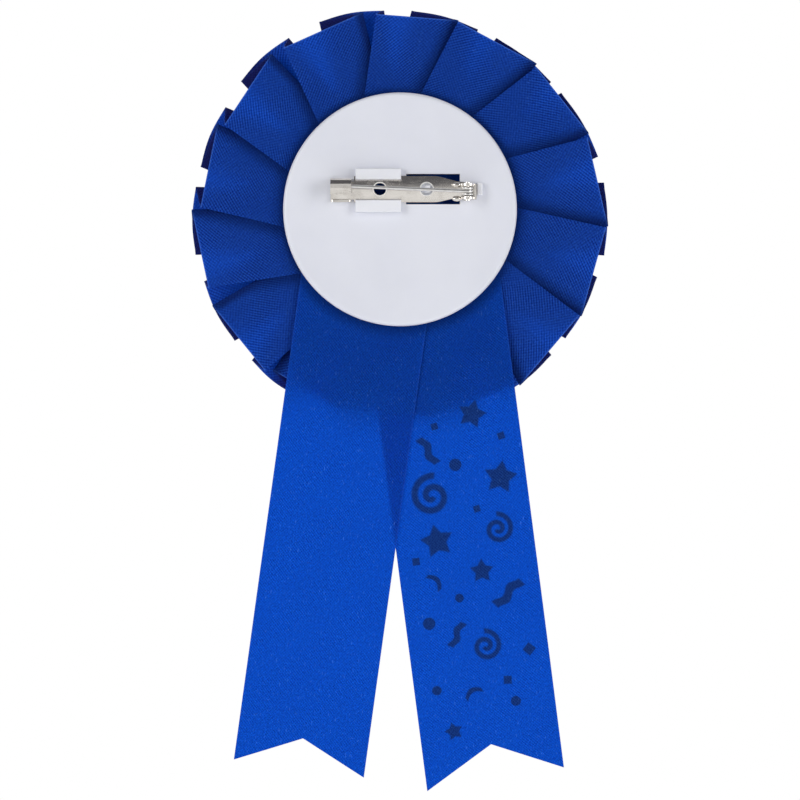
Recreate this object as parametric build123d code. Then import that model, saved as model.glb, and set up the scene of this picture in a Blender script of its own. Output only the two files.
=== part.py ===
from build123d import *
import os
from math import atan, cos, degrees, radians, sin, tan

# Award ribbon: a box-pleated rosette with a badge in front, a moulded disc with a bar pin
# behind it, and two swallow-tailed ribbon tails.
# Frame: +Z up as worn, the badge faces -Y, the wearer's clothes are at +Y.
# The origin is on the pin's needle, halfway along the stretch that goes through the cloth.

# Backing disc
disc_r = 25.9
disc_x = 0.55  # the disc's rim is this far to the side of the needle's middle
disc_thick = 1.8
disc_z = -4.6  # the disc's centre is this far below the needle
back_y = -3.4  # the disc's rear face; the needle stands 3.4 in front of it
disc_rear_round = 0.8
disc_rise = 0.2  # and this far above the rosette's middle
disc_front_round = 0.3
gate_r, gate_depth = 0.35, 0.15
gate_x, gate_z = 3.5, 11.1
overlap = 0.4  # how far a moulded or folded feature starts inside what it stands on
past = 1.0  # how far a cut runs past the faces it opens

# Bar pin: one stamping with a rolled catch at +X and two hinge ears at -X
sheet = 0.5
bar_half = 2.9
bar_arch_r = 14.0
bar_lift = 0.32  # underside of the bar's crown above the disc
bar_x_catch, bar_x_taper, bar_x_neck, bar_x_end = 15.9, -7.7, -12.0, -16.35
taper_round = 6.0
blank_length = 40.0  # of the arched strip before it is cut to its outline
neck_top, neck_bottom = 1.75, -1.9
hole_r = 1.35
hole_xs = (5.0, -5.35)
hole_burr, hole_flare, flare_depth = 0.15, 0.25, 0.4
crown_y = back_y + bar_lift + sheet

# Hinge of the bar pin
wire_r = 0.35
rivet_r = 0.45
coil_bore = 0.57
coil_r = coil_bore + wire_r
coil_turns = 3
coil_step = 0.68
coil_clearance = 0.15  # between the coil and the bar's crown
pivot_x = -14.4
pivot_y = crown_y + coil_clearance + coil_r + wire_r
pivot_z = -0.6
end_wall_x = -15.87
end_wall_rise = 0.3  # above the pivot
ear_r = 1.5
ear_gap = 2.45
ear_hole_r = 0.5
ear_corner = 0.4
fold_size = (1.1, 0.75, 0.62)  # half-sizes of the rounded fold in front of each ear
fold_ahead, fold_sunk, fold_inset = 0.9, 0.15, 0.2
rivet_head_r, rivet_head_thick = 0.7, 0.22
rivet_play = 0.1  # between each head and its ear

# Needle: it leaves the coil, bends level and runs through the origin to the catch
needle_rise = atan(-pivot_z / -pivot_x)
bend_x = -12.2
point_x = 10.7
tip_x = 15.3
tip_r = 0.05

# Catch
catch_x = 11.3
catch_top, catch_bottom = 2.3, -2.87
catch_neck_x = 10.7
catch_neck_top, catch_neck_bottom = 1.6, -2.3
hook_top_y = 1.2
hook_lip_z = -1.2
hook_corner, hook_lip_corner = 1.1, 1.5
hook_face = 1.1  # length of the hook's face above its lip
hook_lip_drop = 0.2  # the lip curls this far back towards the needle
hook_notch_r, hook_notch_drop = 0.4, 0.15
low_lip_rise, low_lip_corner, low_lip_inset = 0.5, 0.4, 0.1

# Bar seat moulded on the disc
rail_x = (0.3, 10.4)
rail_upper = (2.1, 4.55)
rail_lower = (-5.1, -2.4)
rail_rise = 1.7
rail_round = 0.25
slot_rise = 0.72
slot_half = 2.98
window_x = (-12.7, -0.8)
window_z = (-3.33, 3.4)
seat_opening_x = (0.95, 9.8)
tongue_x = (-7.6, -0.7)
tongue_half = 1.5
tongue_depth = (1.1, 0.1)  # of its two faces below the disc's rear face
wedge_half, wedge_flat, wedge_rise, wedge_root = 0.8, 0.35, 0.7, 0.2
stop_x = (-17.7, -16.5)
stop_z = (-1.36, 1.44)
stop_rise = 1.5
stop_round = 0.3

# Ribbon and its layers, from the disc towards the front
ribbon_thick = 0.35
layer_gap = 0.05
pressed_depth = 1.25  # of the pleats where they are pressed against the board
rim_depth = 5.4  # of the pleats at their outer ends, where they stand open
tail_top = 12.6 + disc_z  # height of the tails' top ends
tail_y_plain = back_y - disc_thick - layer_gap
tail_y_printed = tail_y_plain - ribbon_thick - layer_gap
ruffle_in_r = 16.0
ruffle_out_r = 46.5
ruffle_x = 0.7  # the ruffle sits this far off the disc's centre
ruffle_rear_y = tail_y_printed - ribbon_thick - layer_gap
card_r = 24.0
card_rear_y = ruffle_rear_y - pressed_depth
card_thick = 0.8
pressed_r = card_r + ruffle_x + 0.2  # the pleats stand open outside this radius
badge_rear_y = card_rear_y - card_thick - layer_gap
pad_r = 15.0

# Tails: lean and skew in degrees, foot is the (x, z) of the swallow tail's middle
plain_tail = dict(lean=7.9, width=29.1, foot=(23.0, -128.45), notch=6.8, skew=0.2, y=tail_y_plain)
printed_tail = dict(lean=-7.6, width=30.5, foot=(-20.6, -130.95), notch=7.9, skew=-2.4, y=tail_y_printed)

# Badge button in front
badge_flat_r = 20.5
badge_round = 4.4
shell_thick = 0.25
skirt = 0.5
badge_centre_y = badge_rear_y - skirt
art_thick, film_thick, skin_gap = 0.12, 0.14, 0.02
steel_back_thick, steel_rim_rise, steel_rim_thick, steel_inset = 0.3, 1.4, 0.4, 0.15


def slab(xs, ys, zs):
    """A box between two limits on each axis."""
    (x0, x1), (y0, y1), (z0, z1) = (sorted(pair) for pair in (xs, ys, zs))
    return Pos((x0 + x1) / 2, (y0 + y1) / 2, (z0 + z1) / 2) * Box(x1 - x0, y1 - y0, z1 - z0)


def round_y(radius, ys, x=0.0, z=disc_z):
    """A cylinder along Y between two heights."""
    y0, y1 = sorted(ys)
    return Pos(x, (y0 + y1) / 2, z) * Rot(90, 0, 0) * Cylinder(radius, y1 - y0)


def round_z(radius, zs, x=pivot_x, y=pivot_y):
    """A cylinder along Z between two heights."""
    z0, z1 = sorted(zs)
    return Pos(x, y, (z0 + z1) / 2) * Cylinder(radius, z1 - z0)


def turned(points):
    """A solid turned round the rosette's axis from (radius, y) points."""
    outline = make_face(Polyline(*[(r, y, 0) for r, y in points], close=True))
    return Pos(0, 0, disc_z) * revolve(outline, Axis.Y, 360)


def between(start, end, radius, end_radius=None):
    """A rod or a cone from one point to another."""
    start, end = Vector(*start), Vector(*end)
    along = Plane(origin=start, z_dir=end - start)
    length = (end - start).length
    low = (Align.CENTER, Align.CENTER, Align.MIN)
    if end_radius is None:
        return along * Cylinder(radius, length, align=low)
    return along * Cone(radius, end_radius, length, align=low)


def on_needle(x):
    """The point of the needle's line at x."""
    return (x, 0, x * tan(needle_rise))


def back_plate():
    """The moulded disc with the seat that the bar pin slides into."""
    plate = round_y(disc_r, (back_y - disc_thick, back_y), disc_x, disc_z + disc_rise)
    rims = plate.edges().filter_by(GeomType.CIRCLE).sort_by(Axis.Y)
    plate = fillet(rims[-1:], disc_rear_round)
    rims = plate.edges().filter_by(GeomType.CIRCLE).sort_by(Axis.Y)
    plate = fillet(rims[:1], disc_front_round)
    through = (back_y - disc_thick - past, back_y + rail_rise + past)
    for zs in (rail_upper, rail_lower):
        rail = slab(rail_x, (back_y - overlap, back_y + rail_rise), zs)
        plate += fillet(rail.edges().group_by(Axis.Y)[-1], rail_round)
    slot_x = (rail_x[0] - past, rail_x[1] + past)
    plate -= slab(slot_x, (back_y, back_y + slot_rise), (-slot_half, slot_half))
    plate -= slab(seat_opening_x, (through[0], back_y + slot_rise), (-slot_half, slot_half))
    plate -= slab(window_x, through, window_z)
    plate += snap_tongue()
    stop = slab(stop_x, (back_y - overlap, back_y + stop_rise), stop_z)
    plate += fillet(stop.edges().group_by(Axis.Y)[-1] + stop.edges().filter_by(Axis.Y), stop_round)
    plate -= round_y(gate_r, (back_y - gate_depth, back_y + past), gate_x, gate_z)
    return plate


def snap_tongue():
    """A springy tongue in the window, whose wedge catches in the bar's second hole."""
    deep, shallow = tongue_depth
    tongue = slab(tongue_x, (back_y - deep, back_y - shallow), (-tongue_half, tongue_half))
    hole_x = hole_xs[1]
    wedge = make_face(
        Polyline(
            (hole_x + wedge_half, back_y - wedge_root, 0),
            (hole_x - wedge_half, back_y - wedge_root, 0),
            (hole_x - wedge_half, back_y + wedge_rise, 0),
            (hole_x - wedge_half + wedge_flat, back_y + wedge_rise, 0),
            close=True,
        )
    )
    return tongue + extrude(wedge, amount=wedge_half, both=True)


def pin_bar():
    """The stamped bar: arched strip, two holes, rolled catch and hinge ears."""
    arch_y = back_y + bar_lift - bar_arch_r
    tube = Cylinder(bar_arch_r + sheet, blank_length) - Cylinder(bar_arch_r, blank_length)
    strip = Pos(0, arch_y, 0) * Rot(0, 90, 0) * tube
    outline = Polyline(
        (bar_x_catch, 0, catch_top),
        (catch_x, 0, catch_top),
        (catch_x, 0, catch_neck_top),
        (catch_neck_x, 0, catch_neck_top),
        (catch_neck_x, 0, bar_half),
        (bar_x_taper, 0, bar_half),
        (bar_x_neck, 0, neck_top),
        (bar_x_end, 0, pivot_z + ear_gap / 2 + sheet),
        (bar_x_end, 0, pivot_z - ear_gap / 2 - sheet),
        (bar_x_neck, 0, neck_bottom),
        (bar_x_taper, 0, -bar_half),
        (catch_neck_x, 0, -bar_half),
        (catch_neck_x, 0, catch_neck_bottom),
        (catch_x, 0, catch_neck_bottom),
        (catch_x, 0, catch_bottom),
        (bar_x_catch, 0, catch_bottom),
        close=True,
    )
    prism = extrude(make_face(outline), amount=-back_y + bar_half, dir=(0, -1, 0))
    corners = prism.edges().filter_by(Axis.Y)
    prism = fillet(corners.filter_by(lambda e: abs(e.center().X - bar_x_taper) < overlap), taper_round)
    bar = strip & prism
    bar += rolled_catch() + hinge_ears()
    for hole_x in hole_xs:
        bar -= round_y(hole_r, (back_y - past, 0), hole_x, 0.0)
        flare = Cone(hole_r - hole_burr, hole_r + hole_flare, flare_depth)
        bar -= Pos(hole_x, crown_y, 0) * Rot(90, 0, 0) * flare
    return bar


def rolled_catch():
    """The catch: a hook rolled from the bar's top edge over the needle, and a low lip below it."""
    mid = sheet / 2
    length = bar_x_catch - catch_x
    path = FilletPolyline(
        (crown_y - sheet, catch_top - mid),
        (hook_top_y - mid, catch_top - mid),
        (hook_top_y - mid, hook_lip_z + hook_face),
        (hook_top_y - mid - hook_lip_drop, hook_lip_z),
        radius=[hook_corner, hook_lip_corner],
    )
    hook = extrude(Plane.YZ.offset(catch_x) * trace(path, sheet), amount=length)
    middle = (catch_x + bar_x_catch) / 2
    hook -= round_y(hook_notch_r, (0, hook_top_y + past), middle, hook_lip_z - hook_notch_drop)
    lip = slab(
        (catch_x + low_lip_inset, bar_x_catch - low_lip_inset),
        (crown_y - sheet, crown_y + low_lip_rise),
        (catch_bottom, catch_bottom + sheet),
    )
    return hook + fillet(lip.edges().filter_by(Axis.Z), low_lip_corner)


def hinge_ears():
    """Two ears with holes for the rivet, the wall that joins them, and the folds in front."""
    floor = crown_y - sheet
    outer_half = ear_gap / 2 + sheet
    ears = slab(
        (bar_x_end, end_wall_x),
        (floor, pivot_y + end_wall_rise),
        (pivot_z - outer_half, pivot_z + outer_half),
    )
    corners = ears.edges().filter_by(Axis.Y).group_by(Axis.X)[0]
    ears = fillet(corners, ear_corner)
    for side in (1, -1):
        inner = pivot_z + side * ear_gap / 2
        outer = inner + side * sheet
        ears += round_z(ear_r, (inner, outer))
        ears += slab((end_wall_x - overlap / 2, pivot_x + ear_r), (floor, pivot_y), (inner, outer))
        fold = scale(Sphere(1.0), by=fold_size)
        fold_x = pivot_x + ear_r + fold_ahead
        ears += Pos(fold_x, crown_y - fold_sunk, outer - side * fold_inset) * fold
    ears -= round_z(ear_hole_r, (pivot_z - outer_half - past, pivot_z + outer_half + past))
    return ears


def pin_rivet():
    """The rivet that the needle's coil turns on."""
    reach = ear_gap / 2 + sheet + rivet_play
    rivet = round_z(rivet_r, (pivot_z - reach - rivet_play, pivot_z + reach + rivet_play))
    for side in (1, -1):
        face = pivot_z + side * reach
        head = round_z(rivet_head_r, (face, face + side * rivet_head_thick))
        rivet += head
    return rivet


def pin_needle():
    """The spring-steel needle: coil, raised leg, straight shaft and ground point."""
    needle = None
    for i in range(coil_turns):
        z = pivot_z + (i - (coil_turns - 1) / 2) * coil_step
        turn = Pos(pivot_x, pivot_y, z) * Torus(coil_r, wire_r)
        needle = turn if needle is None else needle + turn
    leg_start = (pivot_x, pivot_y + coil_r, pivot_z)
    bend = on_needle(bend_x)
    needle += between(leg_start, bend, wire_r)
    needle += Pos(*bend) * Sphere(wire_r)
    needle += between(bend, on_needle(point_x), wire_r)
    needle += between(on_needle(point_x), on_needle(tip_x), wire_r, tip_r)
    return needle


def tail(lean, width, foot, notch, skew, y):
    """A ribbon tail: foot is the (x, z) of its end's middle, lean and skew are in degrees."""
    down = Vector(sin(radians(lean)), 0, -cos(radians(lean)))
    across = Vector(cos(radians(lean)), 0, sin(radians(lean)))
    cut = Vector(cos(radians(lean + skew)), 0, sin(radians(lean + skew)))
    end = Vector(foot[0], y, foot[1])
    top = end + down * ((foot[1] - tail_top) / cos(radians(lean)))
    half = width / 2
    points = [
        top + across * half,
        end + cut * half,
        end - down * notch,
        end - cut * half,
        top - across * half,
    ]
    face = make_face(Polyline(*points, close=True))
    return extrude(face, amount=ribbon_thick, dir=(0, -1, 0))


def ruffle():
    """The ring that the box pleats fill."""
    ring = turned(
        [
            (ruffle_in_r, ruffle_rear_y),
            (ruffle_out_r, ruffle_rear_y),
            (ruffle_out_r, ruffle_rear_y - rim_depth),
            (pressed_r, card_rear_y + layer_gap),
            (ruffle_in_r, card_rear_y + layer_gap),
        ]
    )
    return Pos(ruffle_x, 0, 0) * ring


def card_disc():
    return round_y(card_r, (card_rear_y, card_rear_y - card_thick))


def glue_pad():
    return round_y(pad_r, (ruffle_rear_y, card_rear_y + layer_gap))


def dome(inner, outer):
    """A pressed cap: the space between two offsets of the badge's face and shoulder."""
    front = badge_centre_y - badge_round
    profile = []
    for offset in (inner, outer):
        flat_end = (badge_flat_r, front - offset)
        rim = (badge_flat_r + badge_round + offset, badge_centre_y)
        low = (rim[0], badge_rear_y - layer_gap)
        profile.append((flat_end, rim, low, offset))
    edges = []
    for (flat_end, rim, low, offset) in profile:
        edges.append(Line((0, flat_end[1]), flat_end))
        edges.append(
            CenterArc((badge_flat_r, badge_centre_y), badge_round + offset, 270, 90)
        )
        edges.append(Line(rim, low))
    edges.append(Line(profile[0][2], profile[1][2]))
    edges.append(Line((0, profile[0][0][1]), (0, profile[1][0][1])))
    face = make_face(edges)
    return Pos(0, 0, disc_z) * revolve(face, Axis.Y, 360)


def button_back():
    """The steel back that locks the cap's edge."""
    rear = badge_rear_y - layer_gap
    radius = badge_flat_r + badge_round - steel_inset
    plate = round_y(radius, (rear, rear - steel_back_thick))
    depth = (rear, rear - steel_rim_rise)
    rim = round_y(radius, depth) - round_y(radius - steel_rim_thick, depth)
    return plate + rim


def build():
    art = shell_thick + skin_gap
    film = art + art_thick + skin_gap
    return {
        "back_plate": back_plate(),
        "pin_bar": pin_bar(),
        "pin_rivet": pin_rivet(),
        "pin_needle": pin_needle(),
        "plain_tail": tail(**plain_tail),
        "printed_tail": tail(**printed_tail),
        "ruffle": ruffle(),
        "card_disc": card_disc(),
        "glue_pad": glue_pad(),
        "button_back": button_back(),
        "button_shell": dome(0, shell_thick),
        "button_artwork": dome(art, art + art_thick),
        "button_film": dome(film, film + film_thick),
    }


os.makedirs("parts", exist_ok=True)
for name, solid in build().items():
    export_step(solid, f"parts/{name}.step")
print("needle rises", round(degrees(needle_rise), 4), "degrees; pivot", pivot_x, round(pivot_y, 4), pivot_z)
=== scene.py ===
import math
import random

import bpy
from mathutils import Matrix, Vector, noise


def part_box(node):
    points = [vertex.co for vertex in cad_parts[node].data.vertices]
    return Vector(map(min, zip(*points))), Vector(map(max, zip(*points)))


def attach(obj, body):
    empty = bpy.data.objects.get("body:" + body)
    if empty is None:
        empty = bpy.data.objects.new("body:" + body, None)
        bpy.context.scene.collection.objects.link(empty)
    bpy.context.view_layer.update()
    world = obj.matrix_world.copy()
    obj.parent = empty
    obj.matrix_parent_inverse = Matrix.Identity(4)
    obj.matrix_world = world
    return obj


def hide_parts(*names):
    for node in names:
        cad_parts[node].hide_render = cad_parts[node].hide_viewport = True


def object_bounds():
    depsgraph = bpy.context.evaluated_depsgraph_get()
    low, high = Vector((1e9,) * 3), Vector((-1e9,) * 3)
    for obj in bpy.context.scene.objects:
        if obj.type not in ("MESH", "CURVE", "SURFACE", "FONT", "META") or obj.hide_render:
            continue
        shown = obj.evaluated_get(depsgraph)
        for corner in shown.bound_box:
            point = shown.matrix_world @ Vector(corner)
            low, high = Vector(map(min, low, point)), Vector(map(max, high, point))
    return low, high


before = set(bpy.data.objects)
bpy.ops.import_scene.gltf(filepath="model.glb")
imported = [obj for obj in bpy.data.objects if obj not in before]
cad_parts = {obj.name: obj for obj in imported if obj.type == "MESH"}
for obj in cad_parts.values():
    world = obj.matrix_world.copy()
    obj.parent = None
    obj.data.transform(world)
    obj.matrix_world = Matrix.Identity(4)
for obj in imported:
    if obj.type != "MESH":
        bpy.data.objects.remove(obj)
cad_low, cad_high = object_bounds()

# Award ribbon: box-pleated rosette, white moulded disc with a bar pin, badge, two ribbon tails.
# Lengths are in millimetres where a name or comment says so, and are turned into metres by MM.
MM = 0.001
random.seed(14)

# ---------------------------------------------------------------- sizes of the ribbon's pieces
RIBBON_WIDTH = 28.0  # of the ruffle's ribbon, mm
CLOTH_THICK = 0.17
DISC_THICK = 1.9  # from the disc's front face to just past its rear face
DISC_LINE_RADIUS = 26.6  # where the folds come out from under the disc

# The 14 box pleats as sewn, clockwise seen from behind. Places are (angle from the top, radius),
# degrees and mm from the disc's middle: the rear fold, its angle where it meets the disc, the far
# end of the rear face (the loop), and the two hidden folds: front and back.
PLEATS = [
    ((-163.0, 46.5), -171.0, (-141.0, 45.6), (-151.0, 47.4), (-158.5, 46.7)),
    ((-139.5, 46.9), -147.0, (-116.5, 47.2), (-127.5, 47.3), (-134.8, 47.3)),
    ((-111.8, 46.4), -122.0, (-89.7, 46.9), (-101.7, 47.2), (-109.6, 47.0)),
    ((-89.2, 44.9), -98.2, (-64.9, 45.5), (-77.4, 46.2), (-83.3, 46.5)),
    ((-64.4, 43.9), -71.3, (-39.9, 45.5), (-51.0, 46.4), (-59.6, 45.9)),
    ((-36.2, 44.8), -44.5, (-11.4, 45.0), (-23.6, 46.3), (-33.4, 46.4)),
    ((-7.8, 44.1), -19.0, (16.3, 44.2), (2.7, 44.9), (-5.4, 45.1)),
    ((16.2, 43.8), 8.7, (42.3, 44.3), (28.5, 44.1), (22.4, 44.0)),
    ((42.7, 43.6), 36.5, (67.3, 44.9), (53.3, 44.3), (48.8, 44.0)),
    ((68.2, 44.2), 63.3, (94.2, 45.8), (81.9, 45.5), (74.2, 45.4)),
    ((94.5, 45.4), 88.7, (120.4, 46.1), (108.7, 45.9), (102.2, 46.1)),
    ((120.4, 45.7), 115.6, (146.0, 46.7), (134.0, 46.2), (127.8, 46.1)),
    ((146.0, 46.3), 141.0, (171.0, 46.6), (159.0, 46.6), (152.0, 46.5)),
    ((171.0, 46.4), 165.0, (-163.5, 46.6), (-175.5, 46.7), (177.5, 46.5)),
]
# Where each fold line starts at the ribbon's inner edge, mm along the face from its rear fold
INNER_SPAN = {"loop": 14.2, "front": 3.7, "back": 10.6}
# How deep each fold line lies behind the ruffle's rear plane, mm: at the inner and the outer edge
FOLD_DEPTH = {"rear": (0.02, 0.35), "loop": (0.35, 1.9), "front": (1.05, 4.9), "back": (0.6, 4.3)}
FOLD_ROUND = {"rear": 0.5, "loop": 1.7, "front": 0.6, "back": 0.5}  # mm of ribbon in each bend
LOOP_STEPS, FOLD_STEPS = 7, 5  # points round each kind of bend
LAYER_STEPS = {"rear": 13, "loop": 6, "front": 12, "back": 5}  # steps along the layer after a fold
LAYER_PUFF = {"rear": -0.35, "loop": 0.25, "front": 0.75, "back": 0.0}  # how far it bulges, mm
SHADE_REACH = 3.4  # how far the shade of the next fold reaches over a face, mm

PIN_HOLES = [(5.0, 0.0, 1.15, 1.58), (-5.35, 0.0, 1.15, 1.58)]  # x, z and the rim's two radii, mm

# Tails, mm and degrees: how far each leans, its width, the middle of its foot, its swallow tail
TAILS = {
    "plain_tail": dict(lean=7.9, width=29.1, foot=(23.0, -128.45), notch=6.8, skew=0.2),
    "printed_tail": dict(lean=-7.4, width=30.8, foot=(-20.7, -130.95), notch=7.9, skew=-2.4),
}
TAIL_TOP = 8.0  # height of the tails' hidden upper ends, mm

# Cloth: the spacing of the weave's diagonals, warp and weft, mm, and how much light goes through
TWILL_PITCH, WARP_PITCH, WEFT_PITCH = 0.82, 0.78, 0.86
THROUGH_SHARE = 0.60

# The badge's artwork, mm: half sizes of the gold star and of the paler one on it, its two gold
# rings' inner and outer radii, and how many rays there are between the rings
STAR_HALF, PALE_STAR_HALF = 11.2, 8.2
GOLD_RINGS = [(13.6, 14.5), (18.9, 19.7)]
RAYS = 28.0

# Confetti print, mm from the middle of the tail's foot: shape, across, up, size, turn in degrees
CONFETTI = [
    ("star", -5.2, 81.2, 6.5, -21),
    ("square", 3.4, 79.5, 1.45, 8),
    ("square", -11.0, 75.6, 1.5, 12),
    ("squiggle", 5.5, 74.3, 7.0, 112),
    ("dot", -0.1, 70.5, 2.7, 0),
    ("star", -9.7, 66.5, 7.5, -14),
    ("spiral", 5.9, 64.3, 10.9, 5),
    ("square", -3.6, 60.2, 1.45, 8),
    ("snail", -7.6, 55.2, 8.1, -20),
    ("star", 6.1, 54.2, 7.5, 6),
    ("square", 11.3, 50.3, 1.6, 0),
    ("star", -2.9, 46.4, 5.4, -4),
    ("arc", 8.2, 45.0, 4.4, -55),
    ("wriggle", -8.1, 40.8, 8.2, 41),
    ("dot", 2.8, 41.1, 1.9, 0),
    ("dot", 10.2, 36.3, 2.7, 0),
    ("wriggle", 4.4, 33.1, 6.2, 61),
    ("snail", -1.6, 29.8, 8.2, -20),
    ("square", -11.1, 27.9, 2.1, 45),
    ("square", -5.5, 21.7, 1.75, -5),
    ("dot", 10.4, 21.3, 2.1, 0),
    ("arc", 2.2, 19.3, 4.3, 25),
    ("dot", -6.7, 16.8, 2.2, 0),
    ("star", 7.8, 11.8, 4.1, 10),
]


# ---------------------------------------------------------------- small helpers
def smooth(value):
    """0 to 1 with a soft start and end."""
    t = min(1.0, max(0.0, value))
    return t * t * (3 - 2 * t)


def between(a, b, share):
    return a + (b - a) * share


def disc_shade(x, z, reach):
    """Shade that the disc casts on cloth at a place, fading out over a reach, mm."""
    distance = math.hypot(x - plate_mid.x / MM, z - plate_mid.z / MM) - plate_radius
    return smooth(1 - distance / reach)


def activate(piece):
    """Makes piece the only selected and active object."""
    bpy.ops.object.select_all(action="DESELECT")
    piece.select_set(True)
    bpy.context.view_layer.objects.active = piece


def cloth_mesh(name, rows, flat_places, shade_and_dirt_marks=None, closed=False):
    """A sheet from rows of points; flat_places has each point's (across, along) place, mm.

    Each point's painted shade comes with it: the painted shade of the fold over it, and how far it is
    painted dark as a layer lying under others, 0 to 1.

    With closed, each row's last point is its first point's place again, one turn further on."""
    across, along = len(rows), len(rows[0]) - (1 if closed else 0)
    verts = [point for row in rows for point in row[:along]]
    faces, places, painted_shades = [], [], []
    for i in range(across - 1):
        for j in range(along if closed else along - 1):
            corners = [(i, j), (i + 1, j), (i + 1, j + 1), (i, j + 1)]
            faces.append([a * along + b % along for a, b in corners])
            places += [flat_places[a][b] for a, b in corners]
            painted_shades += [shade_and_dirt_marks[a][b] if shade_and_dirt_marks else (0.0, 0.0) for a, b in corners]
    mesh = bpy.data.meshes.new(name)
    mesh.from_pydata(verts, [], faces)
    for layer_name, values in (("cloth", places), ("painted_shade", painted_shades)):
        layer = mesh.uv_layers.new(name=layer_name)
        for corner, value in zip(layer.data, values):
            corner.uv = value
    piece = bpy.data.objects.new(name, mesh)
    bpy.context.scene.collection.objects.link(piece)
    activate(piece)
    bpy.ops.object.mode_set(mode="EDIT")
    bpy.ops.mesh.select_all(action="SELECT")
    bpy.ops.mesh.normals_make_consistent(inside=False)
    bpy.ops.object.mode_set(mode="OBJECT")
    wall = piece.modifiers.new("cloth_thickness", "SOLIDIFY")
    wall.thickness = CLOTH_THICK * MM
    wall.offset = 0
    bpy.ops.object.modifier_apply(modifier=wall.name)
    bpy.ops.object.shade_smooth_by_angle(angle=math.radians(50))
    return piece


# ---------------------------------------------------------------- rosette
_, ruffle_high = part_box("ruffle")
plate_low, plate_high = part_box("back_plate")
plate_mid = (plate_low + plate_high) / 2
plate_radius = (plate_high.x - plate_low.x) / 2 / MM
board_low, board_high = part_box("card_disc")
board_mid = (board_low + board_high) / 2


def on_rosette(angle, radius):
    """The (x, z) place at an angle clockwise from the top, seen from behind, in mm."""
    a = math.radians(angle)
    return Vector((board_mid.x / MM - radius * math.sin(a), board_mid.z / MM + radius * math.cos(a)))


class FoldLine:
    """A straight fold across the ribbon, and how deep it lies."""

    def __init__(self, kind, outer, toward, lift=0.0):
        self.kind, self.outer, self.lift = kind, outer, lift
        self.inward = (toward - outer).normalized()
        self.inner = outer + self.inward * RIBBON_WIDTH
        self.along = Vector((self.inward.y, -self.inward.x))  # clockwise, along the face

    def place(self, share):
        """Its (x, depth, z) at a share of the ribbon's width, from the inner edge."""
        flat = between(self.inner, self.outer, share)
        inner_depth, outer_depth = FOLD_DEPTH[self.kind]
        opened = smooth((share - 0.22) / 0.85)
        return Vector((flat.x, between(inner_depth, outer_depth + self.lift, opened), flat.y))

    def distance(self, point):
        """How far before this fold, along the ribbon's run, a point lies."""
        return (self.outer - Vector((point.x, point.z))).dot(self.along)


def pleat_folds(pleat):
    """The four fold lines of one box pleat, in the order that the ribbon runs."""
    rear_place, disc_angle, loop_place, front_place, back_place = pleat
    rear = FoldLine("rear", on_rosette(*rear_place), on_rosette(disc_angle, DISC_LINE_RADIUS),
                    random.uniform(-0.15, 0.15))

    def follow(kind, outer_place):
        # The bend rounds the corner off, so the corner itself stands half a bend further on
        turn = {"loop": 1, "front": -1, "back": 1}[kind] * FOLD_ROUND[kind] / 2
        outer = on_rosette(*outer_place) + rear.along * turn
        return FoldLine(kind, outer, rear.inner + rear.along * INNER_SPAN[kind])

    back, loop = follow("back", back_place), follow("loop", loop_place)
    return [back, rear, loop, follow("front", front_place)]


def bend(before, corner, after, kind, share):
    """Points round a fold, from one layer to the next."""
    size = FOLD_ROUND[kind] * (between(0.35, 1.0, share) if kind == "loop" else 1.0)
    reach_in = min(size, 0.35 * (before - corner).length)
    reach_out = min(size, 0.35 * (after - corner).length)
    start = corner + (before - corner).normalized() * reach_in
    end = corner + (after - corner).normalized() * reach_out
    steps = LOOP_STEPS if kind == "loop" else FOLD_STEPS
    points = []
    for k in range(steps):
        q = k / (steps - 1)
        points.append(start * (1 - q) ** 2 + corner * 2 * q * (1 - q) + end * q**2)
    return points


def layer_points(start, end, line, share, seed):
    """Points of one layer between two folds, puffed out and slightly uneven."""
    steps = LAYER_STEPS[line.kind]
    puff = LAYER_PUFF[line.kind] * share
    # The front layer's outer edge is arched, so its middle stands further out
    arch = 0.8 * smooth(2 * share - 1) if line.kind == "front" else 0.0
    points = []
    for k in range(1, steps):
        q = k / steps
        point = between(start, end, q)
        crease = noise.noise(Vector((q * 2.2 + seed * 3.1, share * 2.6, seed)))
        point.y += puff * math.sin(math.pi * q) ** 0.8
        point.y += 0.16 * crease * math.sin(math.pi * q) * (0.3 + 0.7 * share)
        point -= Vector((line.inward.x, 0, line.inward.y)) * arch * math.sin(math.pi * q)
        points.append(point)
    return points


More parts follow.
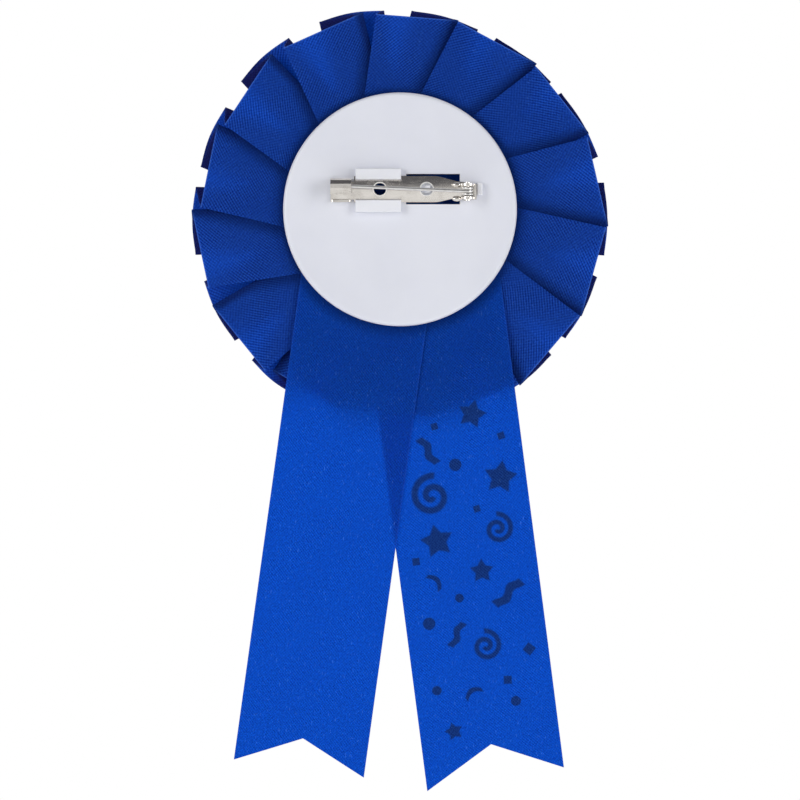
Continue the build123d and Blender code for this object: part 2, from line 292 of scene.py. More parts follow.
def pleats():
    """The ruffle: one ribbon in 14 box pleats, closed into a ring."""
    # The ribbon runs clockwise: rear fold, loop under the next face, front fold, back to the next
    run = [line for pleat in PLEATS for line in pleat_folds(pleat)]
    count, width_steps = len(run), 26
    rows, shade_and_dirt_marks = [], []
    for w in range(width_steps + 1):
        share = w / width_steps
        corners = [line.place(share) for line in run]
        row, row_shades = [], []
        for i, line in enumerate(run):
            corner, after = corners[i], corners[(i + 1) % count]
            beyond = corners[(i + 2) % count]
            next_line = run[(i + 1) % count]
            covering = run[(i + 4) % count]
            points = bend(corners[i - 1], corner, after, line.kind, share)
            leaving = bend(corner, after, beyond, next_line.kind, share)[0]
            points += layer_points(points[-1], leaving, line, share, i * 0.73)
            row += points
            # Painted shade: a rear face is painted darker under the next fold and near the disc, a
            # loop's bend fully dark, and the hidden layers dark too
            for k, point in enumerate(points):
                if line.kind == "rear":
                    fold_shade = smooth(1 - covering.distance(point) / SHADE_REACH)
                    row_shades.append((max(fold_shade, disc_shade(point.x, point.z, 1.6)), 0.0))
                elif line.kind == "loop" and k < LOOP_STEPS:
                    row_shades.append((1.0, 0.1))
                else:
                    run_out = smooth(k / len(points) * 3 - 1.4) if line.kind == "front" else 0.0
                    row_shades.append((0.0, 1.0 - 0.75 * run_out))
        rows.append(row + row[:1])
        shade_and_dirt_marks.append(row_shades + row_shades[:1])
    lengths = [0.0]
    middle = rows[len(rows) * 2 // 3]
    for a, b in zip(middle, middle[1:]):
        lengths.append(lengths[-1] + (b - a).length)
    across = [RIBBON_WIDTH * w / width_steps for w in range(width_steps + 1)]
    flat_places = [[(a, length) for length in lengths] for a in across]
    rear_y = ruffle_high.y / MM - CLOTH_THICK / 2 - 0.03
    placed = [[Vector((p.x, rear_y - max(0.0, p.y), p.z)) * MM for p in row] for row in rows]
    return cloth_mesh("pleats", placed, flat_places, shade_and_dirt_marks, closed=True)


# ---------------------------------------------------------------- tails
def hang(x, z):
    """How far the hanging ribbon stands off its flat plane at a place, mm."""
    free = smooth((-30.0 - z) / 70.0)
    return free * (0.75 * math.sin(z / 17.0 + x / 55.0 + 0.6) + 0.3 * math.sin(z / 8.3 - x / 21.0))


def tail(name):
    """A ribbon tail with a swallow-tailed foot, hanging with a slight wave."""
    cut = TAILS[name]
    low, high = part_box(name)
    flat_y = (low.y + high.y) / 2 / MM
    lean, skew = math.radians(cut["lean"]), math.radians(cut["skew"])
    up = Vector((-math.sin(lean), math.cos(lean)))
    side = Vector((math.cos(lean), math.sin(lean)))
    foot, half = Vector(cut["foot"]), cut["width"] / 2
    full = (TAIL_TOP - foot.y) / math.cos(lean)
    columns, steps = 36, 170
    rows, flat_places, shade_and_dirt_marks = [], [], []
    for i in range(columns + 1):
        across = between(-half, half, i / columns)
        start = across * math.sin(skew) + cut["notch"] * (1 - abs(across) / half)
        row, flat_row, row_shades = [], [], []
        for j in range(steps + 1):
            along = between(start, full, j / steps)
            place = foot + side * across + up * along
            cupped = 0.35 * (across / half) ** 2 * smooth((70.0 - along) / 60.0)
            y = flat_y + hang(place.x, place.y) - cupped
            row.append(Vector((place.x, y, place.y)) * MM)
            flat_row.append((across, along))
            # Painted shadow of the disc on the tails near it
            row_shades.append((0.8 * disc_shade(place.x, place.y, 3.5), 0.0))
        rows.append(row)
        shade_and_dirt_marks.append(row_shades)
        flat_places.append(flat_row)
    return cloth_mesh(name + "_cloth", rows, flat_places, shade_and_dirt_marks), full


# ---------------------------------------------------------------- node trees
class Nodes:
    """Short calls for building one node tree."""

    def __init__(self, tree):
        self.tree = tree

    def add(self, kind, inputs=(), **settings):
        """A node with its settings made and its inputs fed, by name or index."""
        node = self.tree.nodes.new(kind)
        for key, value in settings.items():
            setattr(node, key, value)
        for key, value in dict(inputs).items():
            self.feed(node.inputs[key], value)
        return node

    def feed(self, socket, value):
        if isinstance(value, bpy.types.NodeSocket):
            self.tree.links.new(value, socket)
        else:
            socket.default_value = value

    def math(self, operation, *values, clamp=False):
        node = self.tree.nodes.new("ShaderNodeMath")
        node.operation, node.use_clamp = operation, clamp
        for socket, value in zip(node.inputs, values):
            self.feed(socket, value)
        return node.outputs[0]

    def vector(self, operation, *values):
        node = self.tree.nodes.new("ShaderNodeVectorMath")
        node.operation = operation
        for socket, value in zip(node.inputs, values):
            self.feed(socket, value)
        return node.outputs[0]

    def ramp(self, value, low, high, out_low=0.0, out_high=1.0):
        """A smooth step from low to high."""
        node = self.add("ShaderNodeMapRange", interpolation_type="SMOOTHSTEP")
        for name, number in zip(("Value", "From Min", "From Max", "To Min", "To Max"),
                                (value, low, high, out_low, out_high)):
            self.feed(node.inputs[name], number)
        return node.outputs[0]

    def mix(self, factor, a, b, blend="MIX"):
        """A colour between two colours."""
        node = self.tree.nodes.new("ShaderNodeMix")
        node.data_type, node.blend_type = "RGBA", blend
        for socket, value in ((node.inputs[0], factor), (node.inputs[6], a), (node.inputs[7], b)):
            self.feed(socket, value)
        return node.outputs[2]

    def noise(self, vector, scale, detail=3.0, roughness=0.5):
        node = self.add("ShaderNodeTexNoise")
        for name, value in (("Vector", vector), ("Scale", scale), ("Detail", detail),
                            ("Roughness", roughness)):
            self.feed(node.inputs[name], value)
        return node.outputs[0]

    def stretch(self, vector, scales):
        """The vector with each part multiplied by its own number."""
        return self.vector("MULTIPLY", vector, scales)


def colour(red, green, blue):
    return (red, green, blue, 1.0)


def effect(name, inputs, outputs):
    """An empty node group with named inputs (name, kind, default) and outputs."""
    group = bpy.data.node_groups.new(name, "ShaderNodeTree")
    for label, kind, default in inputs:
        socket = group.interface.new_socket(label, in_out="INPUT", socket_type="NodeSocket" + kind)
        if default is not None:
            socket.default_value = default
    for label in outputs:
        kind = "Vector" if label == "Normal" else "Float"
        group.interface.new_socket(label, in_out="OUTPUT", socket_type="NodeSocket" + kind)
    nodes = Nodes(group)
    return nodes, nodes.add("NodeGroupInput").outputs, nodes.add("NodeGroupOutput").inputs


def use_group(nodes, group_name, **inputs):
    """One use of a node group; spaces in its inputs' names are given as underscores."""
    node = nodes.add("ShaderNodeGroup", node_tree=bpy.data.node_groups[group_name])
    for key, value in inputs.items():
        nodes.feed(node.inputs[key.replace("_", " ")], value)
    return node.outputs


def make_weave():
    """Twill of fine threads in millimetres of cloth, with slubs and a selvage at both edges."""
    nodes, given, result = effect(
        "ribbon_weave",
        [("Place", "Vector", None), ("Left Edge", "Float", 0.0), ("Right Edge", "Float", 28.0),
         ("Relief", "Float", 1.0), ("Fineness", "Float", 1.0)],
        ("Height", "Shade", "Slub", "Selvage"),
    )
    parts = nodes.add("ShaderNodeSeparateXYZ", {0: given["Place"]}).outputs
    across, along = parts[0], parts[1]
    fine_across = nodes.math("MULTIPLY", across, given["Fineness"])
    fine_along = nodes.math("MULTIPLY", along, given["Fineness"])
    turn = 2 * math.pi
    wobble = nodes.math("MULTIPLY", nodes.noise(given["Place"], 0.6, 2.0), 0.9)
    diagonal = nodes.math("SUBTRACT", fine_across, fine_along)
    twill = nodes.math("SINE", nodes.math("MULTIPLY_ADD", diagonal, turn / TWILL_PITCH, wobble))
    warp = nodes.math("SINE", nodes.math("MULTIPLY_ADD", fine_across, turn / WARP_PITCH, wobble))
    weft = nodes.math("SINE", nodes.math("MULTIPLY", fine_along, turn / WEFT_PITCH))
    threads = nodes.math("MULTIPLY", warp, weft)
    pattern = nodes.math("MULTIPLY_ADD", twill, 0.21, nodes.math("MULTIPLY", threads, 0.27))
    height = nodes.math("MULTIPLY_ADD", pattern, given["Relief"], 0.5)
    grain = nodes.noise(nodes.stretch(given["Place"], (2.4, 1.9, 1.0)), 1.0, 3.0, 0.8)
    shade = nodes.math("MULTIPLY_ADD", nodes.math("SUBTRACT", grain, 0.5), 1.5, height, clamp=True)
    streaks = nodes.noise(nodes.stretch(given["Place"], (3.0, 0.8, 1.0)), 1.0, 2.0, 0.5)
    slub = nodes.ramp(streaks, 0.62, 0.78)
    edge = nodes.math(
        "MINIMUM",
        nodes.math("SUBTRACT", across, given["Left Edge"]),
        nodes.math("SUBTRACT", given["Right Edge"], across),
    )
    selvage = nodes.ramp(edge, 0.12, 0.34, 1.0, 0.0)
    for name, value in (("Height", height), ("Shade", shade), ("Slub", slub), ("Selvage", selvage)):
        nodes.feed(result[name], value)


def make_confetti():
    """One group for each printed shape: a mask from the place on the cloth."""
    soft = 0.06  # half the width of a shape's soft edge, in parts of its half size

    def begin(name):
        nodes, given, result = effect(
            name,
            [("Place", "Vector", None), ("Centre", "Vector", None), ("Half Size", "Float", 1.0),
             ("Turn", "Float", 0.0), ("Hand", "Float", 1.0)],
            ("Mask",),
        )
        centred = nodes.vector("SUBTRACT", given["Place"], given["Centre"])
        turned = nodes.add("ShaderNodeVectorRotate", {"Vector": centred, "Angle": given["Turn"]},
                           rotation_type="Z_AXIS").outputs[0]
        parts = nodes.add("ShaderNodeSeparateXYZ", {0: turned}).outputs
        x = nodes.math("DIVIDE", nodes.math("MULTIPLY", parts[0], given["Hand"]), given["Half Size"])
        y = nodes.math("DIVIDE", parts[1], given["Half Size"])
        radius = nodes.math("SQRT", nodes.math("ADD", nodes.math("MULTIPLY", x, x),
                                               nodes.math("MULTIPLY", y, y)))
        return nodes, result, x, y, radius

    def end(nodes, result, distance):
        nodes.feed(result["Mask"], nodes.ramp(distance, -soft, soft, 1.0, 0.0))

    nodes, result, x, y, radius = begin("confetti_dot")
    end(nodes, result, nodes.math("SUBTRACT", radius, 1.0))

    nodes, result, x, y, radius = begin("confetti_square")
    side = nodes.math("MAXIMUM", nodes.math("ABSOLUTE", x), nodes.math("ABSOLUTE", y))
    end(nodes, result, nodes.math("SUBTRACT", side, 1.0))

    nodes, result, x, y, radius = begin("confetti_star")
    fifth, waist = math.pi / 5, 0.55
    angle = nodes.math("PINGPONG", nodes.math("ADD", nodes.math("ARCTAN2", x, y), 2 * math.pi), fifth)
    tip, dent = Vector((1, 0)), Vector((math.cos(fifth), math.sin(fifth))) * waist
    normal = Vector((dent.y, 1 - dent.x)).normalized()
    line = nodes.math(
        "MULTIPLY",
        radius,
        nodes.math("MULTIPLY_ADD", nodes.math("COSINE", angle), normal.x,
                   nodes.math("MULTIPLY", nodes.math("SINE", angle), normal.y)),
    )
    end(nodes, result, nodes.math("SUBTRACT", line, normal.dot(tip)))

    nodes, result, x, y, radius = begin("confetti_spiral")
    pitch, stroke, first, last = 0.46, 0.125, 0.12, 1.8  # the arm's start and end in turns
    turns = nodes.math("DIVIDE", nodes.math("ARCTAN2", y, x), 2 * math.pi)
    wound = nodes.math("SUBTRACT", nodes.math("DIVIDE", radius, pitch), turns)
    lap = nodes.math("FLOOR", wound)
    middle = nodes.math("SUBTRACT", nodes.math("SUBTRACT", wound, lap), 0.5)
    off = nodes.math("MULTIPLY", nodes.math("ABSOLUTE", middle), pitch)
    run = nodes.math("ADD", nodes.math("ADD", lap, turns), 0.5)
    after_last, before_first = nodes.math("SUBTRACT", run, last), nodes.math("SUBTRACT", first, run)
    past_end = nodes.math("MAXIMUM", after_last, before_first)
    past_end = nodes.math("MULTIPLY", past_end, nodes.math("MULTIPLY", radius, 2 * math.pi))
    end(nodes, result, nodes.math("MAXIMUM", nodes.math("SUBTRACT", off, stroke), past_end))

    # A wavy or bowed stroke: its half waves along it, where the wave starts, and its rise
    thick, half_length = 0.24, 0.95
    for name, waves, start, rise in (("confetti_squiggle", 1.6, 0, 0.12),
                                     ("confetti_arc", 0.5, math.pi / 2, 0.55)):
        nodes, result, x, y, radius = begin(name)
        wave = nodes.math("SINE", nodes.math("MULTIPLY_ADD", x, math.pi * waves, start))
        off = nodes.math("ABSOLUTE", nodes.math("MULTIPLY_ADD", wave, -rise, y))
        ends = nodes.math("SUBTRACT", nodes.math("ABSOLUTE", x), half_length)
        end(nodes, result, nodes.math("MAXIMUM", nodes.math("SUBTRACT", off, thick), ends))


def make_edge_wear():
    """Mask of rubbed edges, broken up by noise."""
    nodes, given, result = effect("edge_wear", [("Place", "Vector", None), ("Radius", "Float", 0.0003)],
                                  ("Mask", "Normal"))
    bevel = nodes.add("ShaderNodeBevel", {"Radius": given["Radius"]}, samples=4)
    true_normal = nodes.add("ShaderNodeNewGeometry").outputs["Normal"]
    likeness = nodes.add("ShaderNodeVectorMath", {0: bevel.outputs[0], 1: true_normal},
                         operation="DOT_PRODUCT").outputs["Value"]
    edge = nodes.ramp(likeness, 0.80, 0.995, 1.0, 0.0)
    patches = nodes.ramp(nodes.noise(given["Place"], 900.0, 4.0), 0.38, 0.62)
    nodes.feed(result["Mask"], nodes.math("MULTIPLY", edge, patches))
    nodes.feed(result["Normal"], bevel.outputs[0])


def make_handling_marks():
    """Fine specks and soft smudges."""
    nodes, given, result = effect("handling_marks", [("Place", "Vector", None)], ("Specks", "Smudge"))
    specks = nodes.ramp(nodes.noise(given["Place"], 2600.0, 1.0), 0.72, 0.80)
    smudge = nodes.ramp(nodes.noise(given["Place"], 90.0, 4.0, 0.6), 0.35, 0.75)
    nodes.feed(result["Specks"], specks)
    nodes.feed(result["Smudge"], smudge)


make_weave()
make_confetti()
make_edge_wear()
make_handling_marks()


# ---------------------------------------------------------------- materials
def new_material(name):
    """A material with its Principled shader, object coordinates and a short way to build it."""
    material = bpy.data.materials.new(name)
    material.use_nodes = True
    nodes = Nodes(material.node_tree)
    shader = material.node_tree.nodes["Principled BSDF"]
    place_on_piece = nodes.add("ShaderNodeTexCoord").outputs["Object"]
    return material, nodes, shader, place_on_piece


def set_shader(nodes, shader, **values):
    """Feeds the shader's sockets; underscores stand for spaces."""
    for key, value in values.items():
        nodes.feed(shader.inputs[key.replace("_", " ")], value)


def add_bump(nodes, height, distance, strength=1.0):
    inputs = {"Height": height, "Distance": distance, "Strength": strength}
    return nodes.add("ShaderNodeBump", inputs).outputs[0]


def parts_of(nodes, vector):
    """The three parts of a vector."""
    return nodes.add("ShaderNodeSeparateXYZ", {0: vector}).outputs


def set_surface(nodes, share, first, second):
    """Makes a mix of two shaders the material's surface."""
    joined = nodes.add("ShaderNodeMixShader", {0: share, 1: first.outputs[0], 2: second.outputs[0]})
    nodes.feed(nodes.tree.nodes["Material Output"].inputs["Surface"], joined.outputs[0])


def ribbon_material(name, edges, with_print=False, slubs=1.0, selvage=0.12, clearness=0.90,
                    thread_glint=0.35, relief=0.6, fineness=1.2):
    """Royal-blue polyester ribbon that lets light through."""
    material, nodes, shader, _ = new_material(name)
    spot = nodes.add("ShaderNodeUVMap", uv_map="cloth").outputs[0]
    weave = use_group(nodes, "ribbon_weave", Place=spot, Left_Edge=edges[0], Right_Edge=edges[1],
                  Relief=relief, Fineness=fineness)
    painted_shade = parts_of(nodes, nodes.add("ShaderNodeUVMap", uv_map="painted_shade").outputs[0])
    facing = parts_of(nodes, nodes.add("ShaderNodeTexCoord").outputs["Normal"])[1]
    # The weave's light threads are paler and less pure a blue, partly their own tone and partly a
    # painted glint on the threads
    base = nodes.mix(weave["Shade"], colour(0.0007, 0.021, 0.293), colour(0.030 * thread_glint, 0.168, 0.870))
    fading = nodes.noise(spot, 0.07, 3.0)
    base = nodes.mix(nodes.ramp(fading, 0.35, 0.75, 0.0, 0.25), base, colour(0.005, 0.058, 0.44))
    base = nodes.mix(nodes.math("MULTIPLY", weave["Slub"], 0.65 * slubs), base, colour(0.12, 0.35, 1.0))
    base = nodes.mix(nodes.math("MULTIPLY", weave["Selvage"], selvage), base, colour(0.09, 0.26, 0.96))
    glow = nodes.mix(weave["Shade"], colour(0.020, 0.19 * clearness, 0.58 * clearness),
                     colour(0.036, 0.37 * clearness, 1.0 * clearness))
    glow = nodes.mix(nodes.math("MULTIPLY", weave["Slub"], 0.45 * slubs), glow, colour(0.08, 0.45, 0.98))
    # Painted shade: the shade that a fold casts on the face under it, and the hidden plies painted dark
    # where they face behind
    hidden_shade = nodes.math("MULTIPLY", painted_shade[1], nodes.ramp(facing, -0.1, 0.2))
    for amount, dark in ((nodes.math("MULTIPLY", painted_shade[0], 0.62), colour(0.002, 0.013, 0.117)),
                         (nodes.math("MULTIPLY", hidden_shade, 0.84), colour(0.021, 0.016, 0.137))):
        base = nodes.mix(amount, base, dark)
        glow = nodes.mix(nodes.math("MULTIPLY", amount, 0.8), glow, dark)
    if with_print:
        mask = print_mask(nodes, spot)
        ink = nodes.mix(weave["Shade"], colour(0.008, 0.022, 0.080), colour(0.042, 0.074, 0.190))
        inked = nodes.math("MULTIPLY", mask, nodes.ramp(facing, -0.2, 0.2, 1.0, 0.0))
        base = nodes.mix(nodes.math("MULTIPLY", inked, 0.92), base, colour(0.004, 0.010, 0.045))
        base = nodes.mix(nodes.math("MULTIPLY", mask, 0.45), base, ink)
        glow = nodes.mix(nodes.math("MULTIPLY", mask, 0.85), glow, ink)
    bumps = add_bump(nodes, weave["Height"], 0.00009, 0.7)
    set_shader(
        nodes, shader, Base_Color=base, Normal=bumps,
        Roughness=nodes.ramp(weave["Shade"], 0.0, 1.0, 0.66, 0.50),
        Sheen_Weight=0.03, Sheen_Roughness=0.45, Sheen_Tint=colour(0.25, 0.45, 1.0),
        Specular_IOR_Level=0.06,
    )
    through = nodes.add("ShaderNodeBsdfTranslucent", {"Color": glow, "Normal": bumps})
    set_surface(nodes, THROUGH_SHARE, shader, through)
    return material


def print_mask(nodes, spot):
    """All the confetti shapes together."""
    mirrored = {"wriggle": "squiggle", "snail": "spiral"}
    total = None
    for shape, across, up, size, turn in CONFETTI:
        hand = -1.0 if shape in mirrored else 1.0
        group_name = "confetti_" + mirrored.get(shape, shape)
        mask = use_group(nodes, group_name, Place=spot, Centre=(across, up, 0), Half_Size=size / 2,
                     Turn=math.radians(turn), Hand=hand)["Mask"]
        total = mask if total is None else nodes.math("MAXIMUM", total, mask)
    return total


def plastic_material():
    """White moulded plastic, satin, with a fine mould texture, a little handling grime, and painted
    light making its raised parts paler.
    """
    material, nodes, shader, spot = new_material("moulded_plastic")
    shade_and_dirt_marks = use_group(nodes, "handling_marks", Place=spot)
    flow = nodes.noise(nodes.stretch(spot, (60.0, 1.0, 60.0)), 1.0, 3.0)
    base = nodes.mix(nodes.ramp(flow, 0.3, 0.7), colour(0.735, 0.750, 0.822),
                     colour(0.768, 0.783, 0.852))
    height = parts_of(nodes, spot)[1]
    # Painted light: the parts standing above the disc's rear face are painted paler, as if lit more
    raised_painted_light = nodes.ramp(height, plate_low.y + DISC_THICK * MM, plate_low.y + (DISC_THICK + 0.3) * MM)
    base = nodes.mix(raised_painted_light, base, colour(0.81, 0.82, 0.87))
    base = nodes.mix(nodes.math("MULTIPLY", shade_and_dirt_marks["Specks"], 0.10), base, colour(0.45, 0.43, 0.42))
    base = nodes.mix(nodes.math("MULTIPLY", shade_and_dirt_marks["Smudge"], 0.04), base, colour(0.62, 0.60, 0.60))
    texture = nodes.math("MULTIPLY_ADD", nodes.noise(spot, 7000.0, 2.0), 0.5,
                         nodes.noise(spot, 1200.0, 2.0))
    set_shader(
        nodes, shader, Base_Color=base, Normal=add_bump(nodes, texture, 0.00001, 0.35),
        Roughness=nodes.ramp(shade_and_dirt_marks["Smudge"], 0.0, 1.0, 0.36, 0.50), IOR=1.50, Specular_IOR_Level=0.45,
        Subsurface_Weight=0.12, Subsurface_Radius=(0.8, 0.8, 1.0), Subsurface_Scale=0.0008,
    )
    return material


def rim_highlight(nodes, spot, hole):
    """A ring on a hole's flare, painted bright as a highlight; hole is x, z and the rim's two radii, mm.
    """
    x, z, inner, outer = (value * MM for value in hole)
    centred = nodes.vector("MULTIPLY", nodes.vector("SUBTRACT", spot, (x, 0.0, z)), (1.0, 0.0, 1.0))
    distance = nodes.add("ShaderNodeVectorMath", {0: centred}, operation="LENGTH").outputs["Value"]
    soft = 0.05 * MM
    return nodes.math("MULTIPLY", nodes.ramp(distance, inner - soft, inner),
                      nodes.ramp(distance, outer, outer + soft, 1.0, 0.0))


def metal_material(name, bright, dull, stripes, low_rough, high_rough, rounded=0.0, holes=()):
    """Plated metal: fine drawing lines and dulled patches, and rubbed edges where it is rounded."""
    material, nodes, shader, spot = new_material(name)
    lines = nodes.noise(nodes.stretch(spot, stripes), 1.0, 4.0, 0.65)
    patches = nodes.ramp(nodes.noise(spot, 420.0, 4.0, 0.6), 0.42, 0.72)
    base = nodes.mix(nodes.math("MULTIPLY", patches, 0.45), bright, dull)
    relief = add_bump(nodes, lines, 0.000004, 0.2)
    if rounded:
        edges = use_group(nodes, "edge_wear", Place=spot, Radius=rounded)
        base = nodes.mix(nodes.math("MULTIPLY", edges["Mask"], 0.5), base, colour(0.86, 0.80, 0.70))
        nodes.feed(relief.node.inputs["Normal"], edges["Normal"])
    rough = nodes.math("ADD", nodes.ramp(lines, 0.3, 0.7, low_rough, high_rough),
                       nodes.math("MULTIPLY", patches, 0.10))
    for hole in holes:
        # Painted highlight: each hole's rim is painted bright and made rougher
        rim = rim_highlight(nodes, spot, hole)
        base = nodes.mix(rim, base, colour(0.97, 0.96, 0.94))
        rough = nodes.math("MULTIPLY_ADD", rim, 0.35, rough)
    set_shader(nodes, shader, Base_Color=base, Metallic=1.0, Roughness=rough, Normal=relief)
    return material


def board_material():
    """Grey board with fibres."""
    material, nodes, shader, spot = new_material("grey_board")
    fibres = nodes.noise(nodes.stretch(spot, (2500.0, 600.0, 700.0)), 1.0, 4.0, 0.7)
    base = nodes.mix(nodes.ramp(fibres, 0.35, 0.7), colour(0.46, 0.42, 0.36), colour(0.66, 0.62, 0.54))
    set_shader(nodes, shader, Base_Color=base, Roughness=nodes.ramp(fibres, 0.2, 0.8, 0.95, 0.80),
               Normal=add_bump(nodes, fibres, 0.00006, 0.6))
    return material


def glue_material():
    """Set hot-melt glue, amber and glossy, with ripples."""
    material, nodes, shader, spot = new_material("hot_melt_glue")
    ripples = nodes.noise(spot, 320.0, 3.0)
    base = nodes.mix(ripples, colour(0.70, 0.58, 0.34), colour(0.86, 0.79, 0.60))
    set_shader(nodes, shader, Base_Color=base, Roughness=nodes.ramp(ripples, 0.2, 0.8, 0.20, 0.42),
               Normal=add_bump(nodes, ripples, 0.0003, 0.6))
    return material


def artwork_material():
    """Printed paper: a star in a ring on a field of rays, all round the badge's middle."""
    material, nodes, shader, spot = new_material("printed_paper")
    centred = nodes.vector("SUBTRACT", spot, (board_mid.x, 0.0, board_mid.z))
    parts = parts_of(nodes, centred)
    x, z = nodes.math("DIVIDE", parts[0], MM), nodes.math("DIVIDE", parts[2], MM)
    radius = nodes.math("SQRT", nodes.math("ADD", nodes.math("MULTIPLY", x, x),
                                           nodes.math("MULTIPLY", z, z)))
    angle = nodes.math("ARCTAN2", x, z)
    rays = nodes.ramp(nodes.math("SINE", nodes.math("MULTIPLY", angle, RAYS)), -0.12, 0.12)
    field = nodes.mix(rays, colour(0.002, 0.012, 0.12), colour(0.006, 0.035, 0.24))
    flat = nodes.add("ShaderNodeCombineXYZ", {0: x, 1: z}).outputs[0]

    def ring(inner, outer):
        return nodes.math("MULTIPLY", nodes.ramp(radius, inner, inner + 0.12),
                          nodes.ramp(radius, outer, outer + 0.12, 1.0, 0.0))

    mottle = nodes.noise(spot, 700.0, 3.0)
    gold = nodes.mix(mottle, colour(0.27, 0.14, 0.018), colour(0.36, 0.21, 0.04))
    rays_start = GOLD_RINGS[0][0]
    inside = nodes.ramp(radius, rays_start, rays_start + 0.1, 1.0, 0.0)
    base = nodes.mix(inside, field, colour(0.40, 0.41, 0.42))
    star = use_group(nodes, "confetti_star", Place=flat, Half_Size=STAR_HALF)["Mask"]
    base = nodes.mix(star, base, gold)
    pale_star = use_group(nodes, "confetti_star", Place=flat, Half_Size=PALE_STAR_HALF)["Mask"]
    base = nodes.mix(nodes.math("MULTIPLY", pale_star, 0.55), base, colour(0.42, 0.28, 0.075))
    for inner, outer in GOLD_RINGS:
        base = nodes.mix(ring(inner, outer), base, gold)
    grain = nodes.noise(spot, 5200.0, 2.0)
    base = nodes.mix(nodes.math("MULTIPLY", grain, 0.10), base, colour(0.8, 0.8, 0.8),
                     blend="MULTIPLY")
    set_shader(nodes, shader, Base_Color=base, Roughness=nodes.ramp(grain, 0.2, 0.8, 0.42, 0.62),
               Normal=add_bump(nodes, grain, 0.00001, 0.3))
    return material


def film_material():
    """Clear gloss film with hairline scratches."""
    material, nodes, shader, spot = new_material("clear_film")
    hairs = nodes.noise(nodes.stretch(spot, (90.0, 400.0, 3800.0)), 1.0, 2.0, 0.7)
    scratches = nodes.ramp(hairs, 0.66, 0.74)
    set_shader(nodes, shader, Base_Color=colour(0.97, 0.98, 1.0), Transmission_Weight=1.0, IOR=1.30,
               Roughness=nodes.math("MULTIPLY_ADD", scratches, 0.18, 0.03),
               Normal=add_bump(nodes, hairs, 0.000002, 0.1))
    shadow = nodes.add("ShaderNodeLightPath").outputs["Is Shadow Ray"]
    leaving = nodes.add("ShaderNodeNewGeometry").outputs["Backfacing"]
    clear = nodes.add("ShaderNodeBsdfTransparent")
    set_surface(nodes, nodes.math("MAXIMUM", shadow, leaving), shader, clear)
    return material


# ---------------------------------------------------------------- the pieces
ruffle = pleats()
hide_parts("ruffle")
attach(ruffle, "ribbon")
ruffle.data.materials.append(ribbon_material(
    "ruffle_ribbon", (-1.0, RIBBON_WIDTH), slubs=0.5, selvage=0.8, clearness=0.72,
    thread_glint=1.0, relief=1.0, fineness=1.0))

for tail_name, slot_name in (("plain_tail", "ribbon"), ("printed_tail", "printed_ribbon")):
    cloth, cloth_length = tail(tail_name)
    cut = TAILS[tail_name]
    half_width = cut["width"] / 2
    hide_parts(tail_name)
    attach(cloth, "ribbon")
    cloth.data.materials.append(ribbon_material(
        tail_name + "_ribbon", (-half_width, half_width), with_print=tail_name == "printed_tail"))

nickel = metal_material("nickel_plate", colour(0.80, 0.765, 0.72), colour(0.60, 0.56, 0.51),
                        (250.0, 5000.0, 5000.0), 0.13, 0.24, holes=PIN_HOLES)
spring_wire = metal_material("spring_wire", colour(0.78, 0.77, 0.75), colour(0.52, 0.50, 0.47),
                             (400.0, 9000.0, 9000.0), 0.28, 0.38)
tinplate = metal_material("tinplate", colour(0.66, 0.66, 0.67), colour(0.44, 0.44, 0.45),
                          (300.0, 900.0, 6000.0), 0.24, 0.42, rounded=0.0002)
finishes = {
    "back_plate": plastic_material(),
    "pin_bar": nickel,
    "pin_rivet": nickel,
    "pin_needle": spring_wire,
    "card_disc": board_material(),
    "glue_pad": glue_material(),
    "button_back": tinplate,
    "button_shell": tinplate,
    "button_artwork": artwork_material(),
    "button_film": film_material(),
}
for node_name, finish in finishes.items():
    node_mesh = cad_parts[node_name].data
    node_mesh.materials.clear()
    node_mesh.materials.append(finish)


# ---------------------------------------------------------------- floor, light and camera
CAMERA_DISTANCE = 0.9
VIEW_WIDTH = 0.1776  # how much shows across the picture at the ribbon
FLOOR_DROP = 0.85  # below the tails
AIM_SHIFT = (0.00055, -0.0008)  # of the middle of the view from the ribbon's middle, across and up
# Soft lights: name, place with its height above the aim, width and height, watts
SOFTBOXES = [
    ("back_light", (0.0, -1.1, 0.05), (1.5, 1.5), 8.6),
    ("left_box", (1.0, 0.9, 0.35), (0.5, 0.9), 7.5),
    ("right_box", (-1.1, 0.9, 0.25), (0.5, 0.9), 7.0),
]


def floor():
    """A pale, very slightly glowing floor that fades out at its rim."""
    bpy.ops.object.select_all(action="DESELECT")
    bpy.ops.mesh.primitive_circle_add(vertices=96, radius=4.0, fill_type="TRIFAN",
                                      location=(0, 0, cad_low.z - FLOOR_DROP))
    bpy.ops.object.transform_apply(location=True)
    piece = bpy.context.object
    piece.name = "floor"
    material, nodes, shader, spot = new_material("pale_floor")
    grain = nodes.noise(spot, 40.0, 3.0)
    level = nodes.vector("MULTIPLY", spot, (1.0, 1.0, 0.0))
    distance = nodes.add("ShaderNodeVectorMath", {0: level}, operation="LENGTH").outputs["Value"]
    base = nodes.mix(grain, colour(0.88, 0.88, 0.88), colour(0.92, 0.92, 0.92))
    set_shader(nodes, shader, Base_Color=base, Roughness=0.8, Emission_Color=colour(1.0, 1.0, 1.0),
               Emission_Strength=0.2, Alpha=nodes.ramp(distance, 1.2, 3.9, 1.0, 0.0))
    piece.data.materials.append(material)


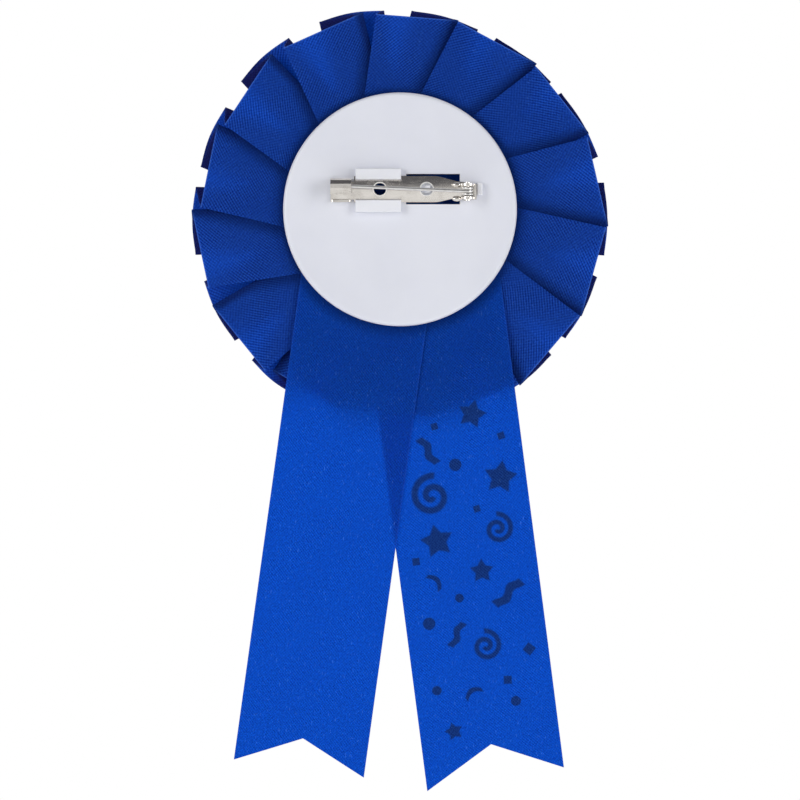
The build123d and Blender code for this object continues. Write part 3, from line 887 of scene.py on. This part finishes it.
def softbox(name, place_at, size, watts, aim):
    """A soft rectangular light that the camera itself doesn't see."""
    lamp = bpy.data.lights.new(name, "AREA")
    lamp.shape, lamp.size, lamp.size_y, lamp.energy = "RECTANGLE", size[0], size[1], watts
    holder = bpy.data.objects.new(name, lamp)
    holder.location = place_at
    holder.rotation_euler = (Vector(aim) - Vector(place_at)).to_track_quat("-Z", "Y").to_euler()
    holder.visible_camera = False
    bpy.context.scene.collection.objects.link(holder)


def studio(aim):
    """White surroundings, a strong light behind the badge side, and soft boxes on the pin side."""
    world = bpy.data.worlds.new("studio")
    bpy.context.scene.world = world
    world.use_nodes = True
    nodes = Nodes(world.node_tree)
    sky = world.node_tree.nodes["Background"]
    way = parts_of(nodes, nodes.add("ShaderNodeTexCoord").outputs["Generated"])
    lift = nodes.ramp(way[2], 0.02, 0.16)
    behind = nodes.ramp(way[1], -0.1, 0.2)
    surround = nodes.mix(nodes.math("MULTIPLY", lift, behind), colour(0.86, 0.86, 0.86),
                         colour(0.10, 0.10, 0.11))
    seen = nodes.add("ShaderNodeLightPath").outputs["Is Camera Ray"]
    nodes.feed(sky.inputs["Color"], nodes.mix(seen, surround, colour(1.0, 1.0, 1.0)))
    sky.inputs["Strength"].default_value = 1.0
    for name, (x, y, rise), size, watts in SOFTBOXES:
        softbox(name, (x, y, aim.z + rise), size, watts, aim)


def camera(aim):
    lens = bpy.data.cameras.new("camera")
    lens.sensor_width = 36.0
    lens.lens = lens.sensor_width * CAMERA_DISTANCE / VIEW_WIDTH
    lens.clip_start, lens.clip_end = 0.01, 20.0
    holder = bpy.data.objects.new("camera", lens)
    holder.location = aim + Vector((0, CAMERA_DISTANCE, 0))
    holder.rotation_euler = Vector((0, -1, 0)).to_track_quat("-Z", "Y").to_euler()
    bpy.context.scene.collection.objects.link(holder)
    bpy.context.scene.camera = holder


look_at = Vector((AIM_SHIFT[0], ruffle_high.y, (cad_low.z + cad_high.z) / 2 + AIM_SHIFT[1]))
floor()
studio(look_at)
camera(look_at)
bpy.context.scene.view_settings.view_transform = "Standard"
